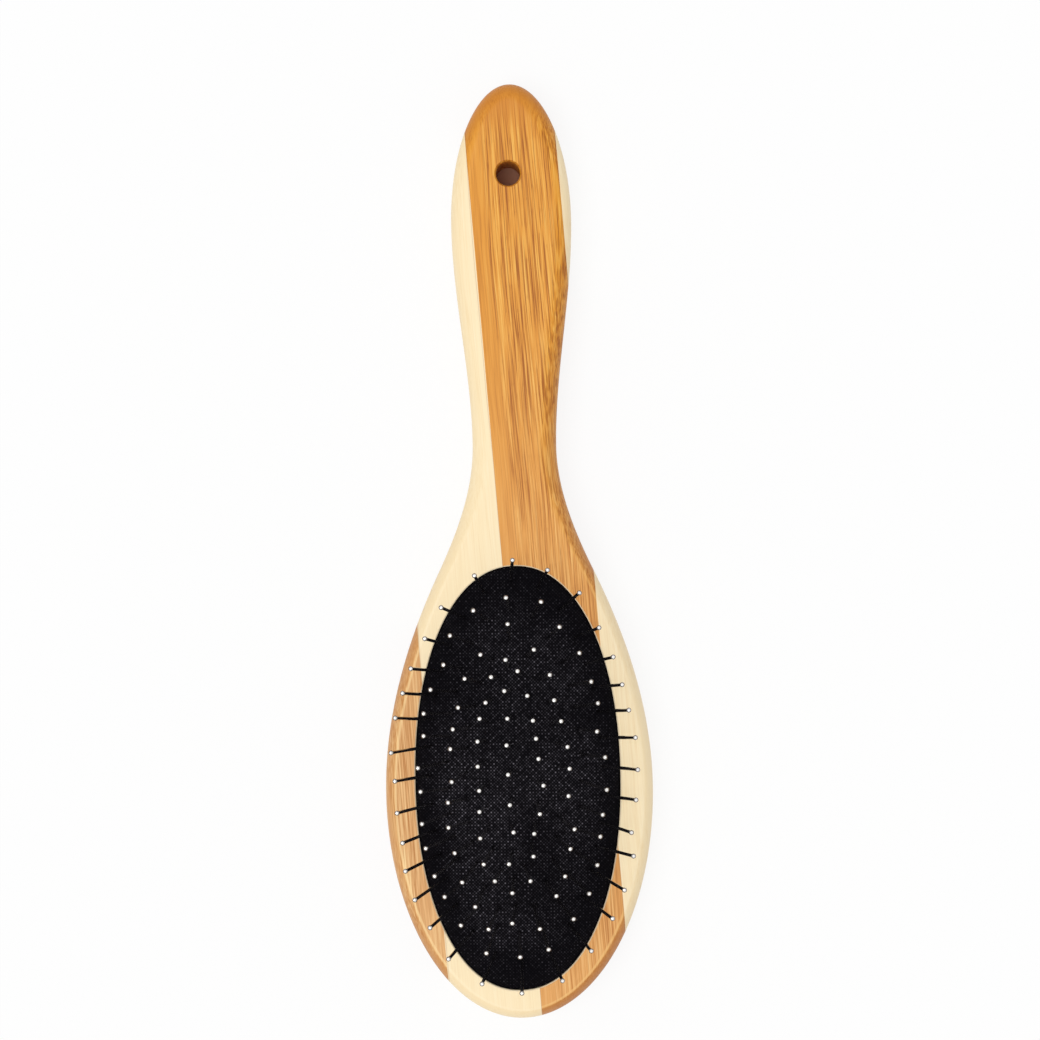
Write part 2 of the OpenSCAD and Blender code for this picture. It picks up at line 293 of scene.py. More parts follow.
nose_q = np.linspace(-math.pi / 2, 0, NOSE_STEPS + 1)
side_y = np.linspace(WIDE_Y, GRIP_Y, SIDE_STEPS + 1)[1:]
tip_q = np.linspace(0, math.pi / 2, TIP_STEPS + 1)[1:]
right = np.concatenate([
    np.column_stack([HEAD_W / 2 * np.cos(nose_q), WIDE_Y + NOSE_LEN * np.sin(nose_q)]),
    np.column_stack([side_width(side_y), side_y]),
    np.column_stack([GRIP_W / 2 * np.cos(tip_q), GRIP_Y + TIP_LEN * np.sin(tip_q)])])
outline = np.concatenate([right, right[-2:0:-1] * (-1, 1)])
along = np.roll(outline, -1, axis=0) - np.roll(outline, 1, axis=0)
outward = np.column_stack([along[:, 1], -along[:, 0]]) / np.linalg.norm(along, axis=1)[:, None]
print("outline points:", len(outline))

# %% [markdown]
# The eased edge.
# A router with a rounding bit, then sanding, leaves an edge that starts at a crease in the face and
# turns upright at the side: crisp round the head, and almost blended away along the handle, where
# the hand goes. The profile is an arc whose start is set by that crease. A tiny second curve blunts
# the crease, so it catches light as sanded wood does.

# %% The eased edge
HEAD_EDGE_W, HANDLE_EDGE_W = 2.3, 4.0
HEAD_CREASE, HANDLE_CREASE = 38.0, 8.0
BLUNT = 0.6
ARC_STEPS, BLUNT_STEPS = 9, 5
LEAST_WALL = 0.5


def edge_rows():
    """Insets from the side and depths under the face, one row a step, from the side to the face."""
    share = ease((outline[:, 1] - SHOULDER_Y) / FLARE_LEN)
    turn = np.radians(90 - HEAD_CREASE - (HANDLE_CREASE - HEAD_CREASE) * share)
    width = HEAD_EDGE_W + (HANDLE_EDGE_W - HEAD_EDGE_W) * share
    radius = np.minimum(width / (1 - np.cos(turn)), (BODY_T / 2 - LEAST_WALL) / np.sin(turn))

    def on_arc(angle):
        return radius * (1 - np.cos(angle)), radius * (np.sin(turn) - np.sin(angle))

    stop = turn - BLUNT / radius
    rows = [on_arc(stop * k / ARC_STEPS) for k in range(ARC_STEPS + 1)]
    start, corner = rows[-1], on_arc(turn)
    for k in range(1, BLUNT_STEPS + 1):
        t = k / BLUNT_STEPS
        a, b, c = (1 - t) ** 2, 2 * t * (1 - t), t * t
        rows.append((a * start[0] + b * corner[0] + c * (corner[0] + BLUNT),
                     a * start[1] + b * corner[1] + c * corner[1]))
    return rows


def paddle_loops():
    rows = edge_rows()
    levels = rows[::-1] + [(inset, BODY_T - depth) for inset, depth in rows]
    return [np.column_stack([outline - outward * inset[:, None], z]) for inset, z in levels]


print("loops round the paddle:", len(paddle_loops()))

# %% [markdown]
# Lofting.
# One helper turns a pile of loops with equally many points into a closed mesh: a band of quads
# between each loop and the next, and a flat face at either end. The paddle, its cutters, the boards'
# limits and the cushion are all lofts.

# %% Lofts
def placed(name, mesh):
    """A new object in the scene, with that mesh."""
    obj = bpy.data.objects.new(name, mesh)
    scene.collection.objects.link(obj)
    return obj


def mesh_object(name, points, faces):
    mesh = bpy.data.meshes.new(name)
    mesh.from_pydata((np.asarray(points) * MM).tolist(), [], faces)
    mesh.update()
    return placed(name, mesh)


def points_of(mesh):
    """The places of the mesh's points, one a row, in metres."""
    points = np.zeros(len(mesh.vertices) * 3)
    mesh.vertices.foreach_get("co", points)
    return points.reshape(-1, 3)


def loft(name, loops):
    n, m = len(loops[0]), len(loops)
    faces = [list(range(n))[::-1]]
    for k in range(m - 1):
        for i in range(n):
            j = (i + 1) % n
            faces.append([k * n + i, k * n + j, (k + 1) * n + j, (k + 1) * n + i])
    faces.append([(m - 1) * n + i for i in range(n)])
    return mesh_object(name, np.concatenate(loops), faces)


def fuller(v):
    """Sine or cosine drawn out, which makes the oval a little fuller than an ellipse."""
    return np.sign(v) * np.abs(v) ** (2 / OVAL_POWER)


def oval_loop(a, b, z, steps=192):
    q = np.linspace(0, 2 * math.pi, steps, endpoint=False)
    x, y = CUSHION_X + a * fuller(np.cos(q)), CUSHION_Y + b * fuller(np.sin(q))
    return np.column_stack([x, y, np.full(steps, z)])


OVAL_POWER = 2.14
SIDE_WOOD, END_WOOD, SHOULDER_REACH, CUSHION_X = 7.75, 7.4, 1.4, -0.35
CUSHION_A = HEAD_W / 2 - SIDE_WOOD
CUSHION_B = (NOSE_LEN + SHOULDER_LEN - END_WOOD + SHOULDER_REACH) / 2
CUSHION_Y = END_Y + END_WOOD + CUSHION_B
blank = loft("blank", paddle_loops())
print("blank faces:", len(blank.data.polygons))

# %% [markdown]
# Milling.
# The pocket is a plain oval with a groove round its wall, which grips the cushion's bead. A hair of a
# chamfer round its mouth catches the light. The hang hole is drilled through, and its mouths are
# eased. Both are cut from the blank with a boolean difference, as the machine does it, because the
# cutter's shape is simple and the cut has to be exact.

# %% The pocket and the hang hole
POCKET_D, GROOVE_DOWN, GROOVE_H, GROOVE_IN = 6.0, 2.0, 2.2, 1.5
RIM_EASE = 0.25
GROOVE_TOP = BODY_T - GROOVE_DOWN
GROOVE_BOTTOM = GROOVE_TOP - GROOVE_H
HOLE_D, HOLE_FROM_TIP, HOLE_SHIFT, HOLE_EASE = 6.0, 22.4, -0.6, 0.5
HOLE_Y, HOLE_ROUND = BRUSH_LEN / 2 - HOLE_FROM_TIP, HOLE_EASE * 0.35
PAST = 1.0


def circle_loop(radius, z, steps=72):
    q = np.linspace(0, 2 * math.pi, steps, endpoint=False)
    x, y = HOLE_SHIFT + radius * np.cos(q), HOLE_Y + radius * np.sin(q)
    return np.column_stack([x, y, np.full(steps, z)])


# Of each loop of a cutter, from below: how far out it goes, and its height.
POCKET = [(0, BODY_T - POCKET_D), (0, GROOVE_BOTTOM), (GROOVE_IN, GROOVE_BOTTOM),
          (GROOVE_IN, GROOVE_TOP), (0, GROOVE_TOP), (0, BODY_T - RIM_EASE), (RIM_EASE, BODY_T),
          (RIM_EASE, BODY_T + PAST)]
DRILL = [(HOLE_EASE + PAST, -PAST), (HOLE_ROUND, HOLE_ROUND), (0, HOLE_EASE), (0, BODY_T - HOLE_EASE),
         (HOLE_ROUND, BODY_T - HOLE_ROUND), (HOLE_EASE + PAST, BODY_T + PAST)]
pocket = loft("pocket", [oval_loop(CUSHION_A + out, CUSHION_B + out, z) for out, z in POCKET])
drill = loft("drill", [circle_loop(HOLE_D / 2 + out, z) for out, z in DRILL])
print("cutters:", pocket.name, drill.name)

# %% [markdown]
# The boards.
# Amber and pale boards of one width are glued side by side before the paddle is sawn, so the glue
# planes are evenly spaced and slant the same way. Each board is the part of the milled paddle that
# lies between two planes. The neck is narrower than the boards beside it, so the right-hand board
# comes out in two pieces: one at the head and a sliver along the grip.

# %% Cutting the boards
STRIP_W, STRIP_SLANT, STRIP_SHIFT = 22.2, math.radians(4.2), -3.6
LEVEL = 0.99999
SHARP = math.radians(25)
DOUBLE, SLIVER = 0.002, 0.001


def board_limits(name, from_line, to_line, from_y, to_y):
    cos, sin = math.cos(STRIP_SLANT), math.sin(STRIP_SLANT)
    corners = [(from_line, from_y), (to_line, from_y), (to_line, to_y), (from_line, to_y)]
    flat = [(STRIP_SHIFT + line * STRIP_W * cos - y * sin, line * STRIP_W * sin + y * cos)
            for line, y in corners]
    return loft(name, [np.array([(x, y, z) for x, y in flat]) for z in (-PAST, BODY_T + PAST)])


def cut(name, *steps):
    """A new object: the blank after the boolean steps, each an operation and its cutter."""
    obj = placed(name, blank.data.copy())
    for operation, cutter in steps:
        step = obj.modifiers.new(operation, "BOOLEAN")
        step.operation, step.object, step.solver = operation, cutter, "EXACT"
    graph = bpy.context.evaluated_depsgraph_get()
    obj.data = bpy.data.meshes.new_from_object(obj.evaluated_get(graph))
    obj.data.name = name
    obj.modifiers.clear()
    return obj


def finish_edges(obj):
    """Merges doubles, shades smooth, and keeps edges sharp where the wood has a corner."""
    bm = bmesh.new()
    bm.from_mesh(obj.data)
    bmesh.ops.remove_doubles(bm, verts=bm.verts, dist=DOUBLE * MM)
    bmesh.ops.dissolve_degenerate(bm, edges=bm.edges, dist=SLIVER * MM)
    bmesh.ops.recalc_face_normals(bm, faces=bm.faces)
    for face in bm.faces:
        face.smooth = True
    open_edges = 0
    for edge in bm.edges:
        if len(edge.link_faces) != 2:
            open_edges += 1
            continue
        level = [abs(face.normal.z) > LEVEL for face in edge.link_faces]
        edge.smooth = edge.calc_face_angle(0) < SHARP and level[0] == level[1]
    bm.to_mesh(obj.data)
    bm.free()
    return open_edges


# Of each board: the glue planes it lies between, counted from the middle one, and its ends.
BOARDS = {"amber_edge_strip": (-3, -1, -BRUSH_LEN, BRUSH_LEN),
          "pale_left_strip": (-1, 0, -BRUSH_LEN, BRUSH_LEN),
          "amber_middle_strip": (0, 1, -BRUSH_LEN, BRUSH_LEN),
          "pale_right_strip": (1, 3, -BRUSH_LEN, NECK_Y),
          "pale_grip_sliver": (1, 3, NECK_Y, BRUSH_LEN)}
boards = {}
for node, limits in BOARDS.items():
    cutter = board_limits("limits_" + node, *limits)
    boards[node] = cut("board_" + node, ("DIFFERENCE", pocket), ("DIFFERENCE", drill),
                       ("INTERSECT", cutter))
    open_edges = finish_edges(boards[node])
    bpy.data.objects.remove(cutter)
    print(node, "faces", len(boards[node].data.polygons), "open edges", open_edges)
for helper in (blank, pocket, drill):
    bpy.data.objects.remove(helper)

# %% [markdown]
# Bamboo.
# A bamboo board is pressed from narrow laths, each packed with fibres along its whole length. They
# show as streaks, light and dark in turn, a quarter to half a millimetre wide and one or two
# centimetres long, over broader and longer ones. Some laths are plain and others full of streaks.
# Amber bamboo was steamed until its sugars browned, so its streaks stand out, while in pale bamboo
# they are almost lost. The pattern is solid: it is stretched noise in the board's own directions, so
# it runs on over the eased edge and shortens where the saw crossed the fibres.

# %% A board's own directions
ALONG = (-math.sin(STRIP_SLANT), math.cos(STRIP_SLANT), 0.0)


def board_axes(tree):
    """Place in a board, in mm: across it, along it, and up through it."""
    turn = Matrix.Rotation(-STRIP_SLANT, 3, "Z")
    move = turn @ Vector((-STRIP_SHIFT, 0, 0))
    here = tree.add("ShaderNodeTexCoord", out="Object")
    turned = tree.add("ShaderNodeMapping", {}, {
        "Vector": here, "Location": move, "Rotation": (0, 0, -STRIP_SLANT), "Scale": (1 / MM,) * 3})
    return tree.parts(turned)


def end_grain(tree):
    """0 where the fibres lie in the surface and 1 where the surface cuts them across."""
    normal = tree.add("ShaderNodeTexCoord", out="Normal")
    dot = tree.add("ShaderNodeVectorMath", {"operation": "DOT_PRODUCT"}, {0: normal, 1: ALONG},
                   out="Value")
    return dot.size()


def pocket_share(tree):
    """1 on the wall of the cushion's pocket, less inside it and more outside."""
    here = tree.parts(tree.add("ShaderNodeTexCoord", out="Object"))
    dx = (here[0] / MM - CUSHION_X).size() / CUSHION_A
    dy = (here[1] / MM - CUSHION_Y).size() / CUSHION_B
    return (dx ** OVAL_POWER + dy ** OVAL_POWER) ** (1 / OVAL_POWER)


print("fibres run along:", [round(v, 3) for v in ALONG])

# %% [markdown]
# Laths and streaks.
# Each kind of streak is one noise, squeezed across the board and drawn out along it. A slow drift
# bends them all a little, as a stem never grows quite straight. Each lath draws how full of streaks
# it is, and thin dark fibres and short pores come on top, only where their noise peaks.

# %% The streaks
LATH_W, LATH_SHIFT, LATH_DRAW = 5.2, 0.25, 5.4
DRIFT, DRIFT_ACROSS, DRIFT_ALONG = 1.6, 0.04, 0.02
STREAK_SPREAD, STREAK_ROUGH = 4.5, 0.6
# Of each kind of streak: width and length in mm, place in the noise, detail, and share in the tone.
BROAD, MIDDLE = (3.4, 60.0, 3.0, 1.0, 0.14), (1.1, 34.0, 17.0, 1.0, 0.28)
FINE, HAIR = (0.38, 22.0, 41.0, 2.0, 0.70), (0.24, 12.0, 71.0, 1.0, 0.66)
# Of each kind of mark: the same, but its last two are the levels of noise where it starts and is full.
FIBRES, PORES = (0.34, 26.0, 23.0, 0.0, 0.57, 0.66), (0.2, 3.0, 9.0, 0.0, 0.70, 0.78)
BUNDLES = (0.55, 8.0, 0.0, 1.0, 0.54, 0.68)
FIBRE_SHARE, PORE_SHARE = 0.54, 0.3


def drifted(tree):
    """The board's own place, bent a little by a slow noise."""
    across, along, up = board_axes(tree)
    slow = tree.vector(across * DRIFT_ACROSS, along * DRIFT_ALONG, up * DRIFT_ACROSS)
    return across + (tree.noise(slow, detail=1.0) - 0.5) * DRIFT, along, up


def streak(tree, place, kind):
    """Above 0 in light streaks and below it in dark ones, mostly within its share of it."""
    across, along, up = place
    width, length, shift, detail, share = kind
    where = tree.vector(across / width + shift, along / length + shift, up / width)
    return (tree.noise(where, detail=detail, roughness=STREAK_ROUGH) - 0.5) * (STREAK_SPREAD * share)


def marks(tree, place, kind):
    """1 on thin marks along the board, and 0 between them."""
    across, along, up = place
    width, length, shift, detail, low, high = kind
    where = tree.vector(across / width + shift, along / length, up / width)
    return tree.noise(where, detail=detail).over(low, high)


def lath_count(across):
    return (across / LATH_W + LATH_SHIFT).floor()


print("laths in a board:", round(STRIP_W / LATH_W, 1))

# %% [markdown]
# Worked wood.
# Wood that is cut across its fibres drinks more lacquer and dries darker, and here that tone is made
# strong enough to stand in also for shade on the eased edge at the ends. The slope of the edge gets
# painted shade, the crease above it a painted highlight, and the pocket's mouth a thin painted
# highlight. On upright ends the sawn bundles show as dark dots. The tones go by the surface's own
# direction, so the back is treated as the front is.

# %% The tones of worked wood
# Along the board, in mm: where each tone starts and where it is full.
HANDLE_TONE, TIP_TONE, HEAD_END = (-60.0, 80.0), (99.0, 111.0), (-25.0, 15.0)
# By how level the surface is, from 0 on a wall to 1 on the face.
SLOPE_END, CREASE_START, CREASE_END, WALL_END = (0.80, 0.92), (0.88, 0.94), (0.990, 0.9995), (0.25, 0.6)
CROSSED, MOUTH = (0.10, 0.45), (1.020, 1.035)
# The first colour is a painted highlight round the pocket's mouth.
MOUTH_HIGHLIGHT, TIP_WOOD = srgb(255, 238, 205), srgb(207, 128, 34)
BUNDLE_WOOD, GLUE = srgb(126, 74, 34), srgb(150, 96, 48)
LATH_LINE, GLUE_LINE = (0.47, 0.5), (0.002, 0.007)
# How far each tone goes towards its own colour. Crossed fibres darken less along the handle, and the
# painted shade on the slope of the edge is stronger at the head.
CROSSED_SHARE, HANDLE_LESS, SLOPE_SHADE_SHARE, HEAD_MORE = 0.42, 0.24, 0.16, 0.16
# The crease and mouth shares set painted highlights. The others set the tones of sawn bundles, lath
# lines and glue.
CREASE_HIGHLIGHT_SHARE, MOUTH_HIGHLIGHT_SHARE, BUNDLE_SHARE, LATH_LINE_SHARE, GLUE_SHARE = 0.55, 0.75, 0.5, 0.25, 0.3


def worked(tree, colour, dark, light, along, strength, lath_tone, bundles):
    """The colour with tones of crossed fibres and sawn ends, and painted shade and highlights on edges.
    """
    crossed = end_grain(tree).over(*CROSSED)
    level = tree.parts(tree.add("ShaderNodeTexCoord", out="Normal"))[2].size()
    slope, at_head = 1 - level.over(*SLOPE_END), 1 - along.over(*HEAD_END)
    mouth = 1 - pocket_share(tree).over(*MOUTH)
    # Darker tone of fibres cut across, also standing in for shade at the ends, plus painted shade on
    # the edge's slope, stronger at the head.
    end_grain_and_painted_shade = (crossed * (CROSSED_SHARE - HANDLE_LESS * along.over(*HANDLE_TONE))
              + slope * (SLOPE_SHADE_SHARE + HEAD_MORE * at_head))
    most = min(1.0, strength * 0.9 + 0.1) * strength ** 0.5
    colour = tree.blend(end_grain_and_painted_shade * (1 - mouth) * most, colour, dark)
    # A painted highlight along the blunted crease round the head.
    crease = level.over(*CREASE_START) * (1 - level.over(*CREASE_END)) * at_head
    colour = tree.blend(crease * CREASE_HIGHLIGHT_SHARE * strength, colour, light)
    # A painted highlight round the pocket's mouth, which the painted shade above leaves out.
    colour = tree.blend(mouth * slope * MOUTH_HIGHLIGHT_SHARE, colour, MOUTH_HIGHLIGHT)
    sawn_across = crossed * (1 - level.over(*WALL_END)) * (0.5 + 0.5 * lath_tone)
    return colour, bundles * sawn_across * BUNDLE_SHARE * strength


def glue_lines(tree, colour, dark, across, strength):
    """Faint lines between the laths, and a darker one in the glue between two boards."""
    lath_line = (across / LATH_W + LATH_SHIFT - lath_count(across) - 0.5).size().over(*LATH_LINE)
    colour = tree.blend(lath_line * LATH_LINE_SHARE * strength, colour, dark)
    boards_off = (across / STRIP_W - (across / STRIP_W + 0.5).floor()).size()
    return tree.blend((1 - boards_off.over(*GLUE_LINE)) * GLUE_SHARE, colour, GLUE)


print("glue planes, mm apart:", STRIP_W)

# %% The bamboo material
TIP_SHARE, GRAIN_DEPTH, PALE_STRENGTH = 0.62, 0.05, 0.45
# How full of streaks a plain lath is and what a full one adds, then the head and what the handle adds.
PLAIN_LATH, FULL_LATH, AT_HEAD, UP_HANDLE, TIP_LESS = 0.30, 0.95, 0.80, 0.30, 0.5


def bamboo(name, ground, dark, light, strength, handle=None):
    """ground, dark and light are the colours at the head. handle gives those at the handle's tip."""
    material, tree, shader = new_material(name)
    place = drifted(tree)
    across, along, up = place
    lath_tone = tree.add("ShaderNodeTexWhiteNoise", {"noise_dimensions": "1D"},
                         {"W": lath_count(across) + LATH_DRAW})
    up_the_handle, near_tip = along.over(*HANDLE_TONE), along.over(*TIP_TONE)
    fullness = ((PLAIN_LATH + FULL_LATH * lath_tone) * (AT_HEAD + UP_HANDLE * up_the_handle)
                * (1 - TIP_LESS * near_tip))
    thin = streak(tree, place, FINE) + streak(tree, place, HAIR) + streak(tree, place, MIDDLE)
    signed = (thin * fullness + streak(tree, place, BROAD)) * strength
    thin_marks = marks(tree, place, FIBRES) * FIBRE_SHARE + marks(tree, place, PORES) * PORE_SHARE
    darkness = ((-signed).clamped() + thin_marks * fullness * strength).clamped()

    colours = [ground, dark, light]
    if handle:
        colours = [tree.blend(up_the_handle, here, there) for here, there in zip(colours, handle)]
    ground, dark, light = colours
    colour = tree.blend(signed.clamped(), ground, light)
    colour = tree.blend(darkness, colour, dark)
    bundles = marks(tree, place, BUNDLES)
    colour, dots = worked(tree, colour, dark, light, along, strength, lath_tone, bundles)
    if handle:
        colour = tree.blend(near_tip * TIP_SHARE, colour, TIP_WOOD)
    colour = tree.blend(dots, colour, BUNDLE_WOOD)
    colour = glue_lines(tree, colour, dark, across, strength)

    height = tree.add("ShaderNodeBump", {}, {
        "Strength": 0.25, "Distance": GRAIN_DEPTH * MM, "Height": 0.5 + 0.5 * signed})
    feed(shader, Base_Color=colour, Roughness=0.46 + 0.1 * darkness, Normal=height,
         Specular_IOR_Level=0.3, Coat_Weight=0.08, Coat_Roughness=0.35)
    return material


AMBER = (srgb(224, 159, 84), srgb(180, 110, 42), srgb(245, 198, 128))
AMBER_HANDLE = (srgb(226, 150, 44), srgb(160, 88, 18), srgb(243, 184, 84))
AMBER_EDGE = (srgb(228, 174, 112), srgb(192, 128, 64), srgb(252, 218, 156))
PALE = (srgb(251, 230, 188), srgb(238, 208, 158), srgb(255, 240, 208))
amber = bamboo("amber_bamboo", *AMBER, 1.0, handle=AMBER_HANDLE)
amber_light = bamboo("amber_bamboo_light", *AMBER_EDGE, 1.0)
pale = bamboo("pale_bamboo", *PALE, PALE_STRENGTH)
print("bamboo materials:", amber.name, amber_light.name, pale.name)

# %% [markdown]
# Each board now takes its finish, rides on the brush's one body and stands for its exact solid.

# %% Dressing the boards
AMBER_BOARDS = {"amber_edge_strip": amber_light, "amber_middle_strip": amber}
for node in BOARDS:
    slot = "amber_bamboo" if node in AMBER_BOARDS else "pale_bamboo"
    boards[node].data.materials.clear()
    boards[node].data.materials.append(AMBER_BOARDS.get(node, pale))
    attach(boards[node], "root")
    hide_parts(node)
print("boards dressed:", len(boards))

# %% [markdown]
# The places of the pins.
# Every pin leans a little differently, as set by hand. The exact solids hold those leans, so each
# pin's foot and direction are read from them: a merged copy of a ring's mesh falls into one island
# for each pin, and the longest direction of an island is the pin's own.

# %% Reading the pins' places
PIN_LEN, PIN_D, BALL_D = 20.0, 0.8, 1.25
ANCHOR_D, ANCHOR_T, SKIN_T, ANCHOR_GAP = 2.4, 0.5, 2.0, 0.2
PIN_NODES = ["outer_ring_pins", "second_ring_pins", "third_ring_pins", "inner_ring_pins",
             "centre_row_pins"]


def islands(mesh):
    """Arrays of points, one for each loose part of the mesh."""
    bm = bmesh.new()
    bm.from_mesh(mesh)
    bmesh.ops.remove_doubles(bm, verts=bm.verts, dist=SLIVER * MM)
    found, left = [], set(bm.verts)
    while left:
        island, edge_of = [], [left.pop()]
        while edge_of:
            vertex = edge_of.pop()
            island.append(tuple(vertex.co))
            for edge in vertex.link_edges:
                other = edge.other_vert(vertex)
                if other in left:
                    left.remove(other)
                    edge_of.append(other)
        found.append(np.array(island))
    bm.free()
    return found


def pin_place(points):
    """(foot on the cushion, direction), in metres."""
    middle = points.mean(axis=0)
    direction = np.linalg.svd(points - middle, full_matrices=False)[2][0]
    direction *= np.sign(direction[2])
    tip = middle + direction * ((points - middle) @ direction).max()
    return tip - direction * PIN_LEN * MM, direction


places = {}
for node in PIN_NODES:
    found = [pin_place(points) for points in islands(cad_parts[node].data)]
    places[node] = sorted(found, key=lambda p: (round(p[0][1], 4), round(p[0][0], 4)))
    print(node, len(places[node]), "pins")

# %% [markdown]
# The pins.
# A pin is drawn wire with a ball at one end and a flat head at the other. It is one turned shape, so
# Geometry Nodes roll a grid into it: each row is a station along the pin, whose height and radius are
# sums of the pin's named sizes. The same tree then stands a copy on each foot, turned to the
# direction stored there, and makes the copies real with their steel.

# %% The pin tree
PIN_SIZES = {"Pin Length": PIN_LEN, "Shaft Width": PIN_D, "Ball Width": BALL_D, "Head Width": ANCHOR_D,
             "Head Thickness": ANCHOR_T, "Head Depth": SKIN_T + ANCHOR_GAP}
SIDES = 8
BALL_STATIONS = (-24, 8, 38, 65)
SOFT_CORNER = math.radians(40)


def pin_tree(material):
    group, tree, given = new_group("pins", {"Feet": "Geometry", **dict.fromkeys(PIN_SIZES, "Float")})
    feet, length, shaft, ball, head, thick, deep = given
    shaft_r, ball_r, head_r = shaft * 0.5, ball * 0.5, head * 0.5
    centre = length - ball_r
    bottom = -deep - thick
    meet = (ball_r * ball_r - shaft_r * shaft_r) ** 0.5
    stations = [(bottom, 0.0), (bottom, head_r), (-deep, head_r), (-deep, shaft_r),
                (centre - meet, shaft_r)]
    for degrees in BALL_STATIONS:
        q = math.radians(degrees)
        stations.append((centre + ball_r * math.sin(q), ball_r * math.cos(q)))
    stations.append((length, 0.0))

    rows = len(stations) - 1
    grid = tree.add("GeometryNodeMeshGrid", {}, {"Size X": float(SIDES), "Size Y": float(rows),
                                                  "Vertices X": SIDES + 1, "Vertices Y": rows + 1})
    place = tree.parts(tree.add("GeometryNodeInputPosition"))
    angle = place[0] * (2 * math.pi / SIDES)
    station = place[1] + (rows / 2 + 0.5)
    heights, radii = [
        tree.add("GeometryNodeIndexSwitch", {"data_type": "FLOAT", "items": rows + 1},
                 [station.floor()] + [pair[k] for pair in stations]) for k in (0, 1)]
    marked = tree.add("GeometryNodeStoreNamedAttribute", {"data_type": "FLOAT", "domain": "POINT"}, {
        "Geometry": grid, "Name": "up_the_pin", "Value": heights / length})
    rolled = tree.add("GeometryNodeSetPosition", {}, {
        "Geometry": marked,
        "Position": tree.vector(radii * angle.cosine(), radii * angle.sine(), heights)})
    closed = tree.add("GeometryNodeMergeByDistance", {}, {"Geometry": rolled, "Distance": SLIVER * MM})
    corner = tree.add("GeometryNodeInputMeshEdgeAngle")
    soft = tree.add("FunctionNodeCompare", {"operation": "LESS_THAN"}, {0: corner, 1: SOFT_CORNER})
    shaded = tree.add("GeometryNodeSetShadeSmooth", {"domain": "EDGE"},
                      {"Geometry": closed, "Shade Smooth": soft})
    stand = tree.add("GeometryNodeInputNamedAttribute", {"data_type": "FLOAT_VECTOR"},
                     {"Name": "stand"})
    turned = tree.add("FunctionNodeAlignRotationToVector", {"axis": "Z"}, {"Vector": stand})
    pins = tree.add("GeometryNodeInstanceOnPoints", {},
                    {"Points": feet, "Instance": shaded, "Rotation": turned})
    real = tree.add("GeometryNodeRealizeInstances", {}, (pins,))
    done = tree.add("GeometryNodeSetMaterial", {}, {"Geometry": real, "Material": material})
    tree.add("NodeGroupOutput", {}, [done], out=None)
    return group


MARKS_ACROSS, MARKS_ALONG = 9000, 300
# The rim tint is a painted dark reflection round the ball and along the shaft.
STEEL_TINTS, PAINTED_REFLECTION_TINT = (srgb(222, 220, 216), srgb(244, 243, 241)), srgb(72, 50, 36)
BALL_START, RIM = (0.946, 0.955), (0.12, 0.50)


def steel():
    """Polished wire: bright metal with faint drawing marks, and a painted dark reflection at its rims.
    """
    material, tree, shader = new_material("pin_steel")
    here = tree.parts(tree.add("ShaderNodeTexCoord", out="Object"))
    x, y, z = here[0] * MARKS_ACROSS, here[1] * MARKS_ACROSS, here[2] * MARKS_ALONG
    drawn = tree.noise(tree.vector(x, y, z))
    tint = tree.blend(drawn, *STEEL_TINTS)
    up_the_pin = tree.add("ShaderNodeAttribute", {"attribute_name": "up_the_pin"}, out="Fac")
    on_ball = up_the_pin.over(*BALL_START)
    # Painted dark reflection at grazing angles, full on the ball and about half on the shaft.
    edge = tree.add("ShaderNodeLayerWeight", {}, {"Blend": 0.5}, out="Facing").over(*RIM)
    tint = tree.blend(edge * (0.45 + 0.55 * on_ball), tint, PAINTED_REFLECTION_TINT)
    feed(shader, Base_Color=tint, Metallic=1.0, Roughness=0.14 + 0.04 * on_ball + 0.06 * drawn)
    return material


pin_steel = steel()
pins_group = pin_tree(pin_steel)
print("pin tree nodes:", len(pins_group.nodes))

# %% [markdown]
# The feet of one ring are a mesh of bare points with their directions as an attribute. A modifier
# with the tree turns them into pins, and its sizes are given by the sockets' identifiers before
# anything is evaluated. The result is taken as a plain mesh, so nothing live is left on the piece.

# %% Setting the pins
def grown(obj, group, values):
    """The mesh that the tree makes of the object, and the object gone."""
    modifier = obj.modifiers.new(group.name, "NODES")
    modifier.node_group = group
    for item in group.interface.items_tree:
        if item.in_out == "INPUT" and item.name in values:
            modifier[item.identifier] = values[item.name]
    graph = bpy.context.evaluated_depsgraph_get()
    mesh = bpy.data.meshes.new_from_object(obj.evaluated_get(graph))
    bpy.data.objects.remove(obj)
    return mesh


def set_pins(node):
    feet = mesh_object("feet_" + node, [foot / MM for foot, _ in places[node]], [])
    stand = feet.data.attributes.new("stand", "FLOAT_VECTOR", "POINT")
    stand.data.foreach_set("vector", np.array([d for _, d in places[node]]).ravel())
    mesh = grown(feet, pins_group, {name: size * MM for name, size in PIN_SIZES.items()})
    mesh.name = "pins_" + node
    pins = placed(mesh.name, mesh)
    bm = bmesh.new()
    bm.from_mesh(mesh)
    bmesh.ops.recalc_face_normals(bm, faces=bm.faces)
    bm.to_mesh(mesh)
    bm.free()
    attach(pins, "root")
    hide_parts(node)
    return pins


for node in PIN_NODES:
    pins = set_pins(node)
    print(pins.name, "faces", len(pins.data.polygons))

# %% [markdown]
# The cushion.
# It is a rubber skin faced with cloth, pulled tight over air, with a bead round its rim that snaps
# into the groove. Its crown is flat in the middle and steep at the edge. The shape follows a rule, so
# the loops of a loft give it: lining, bead, wall, a rounded shoulder and the crown.

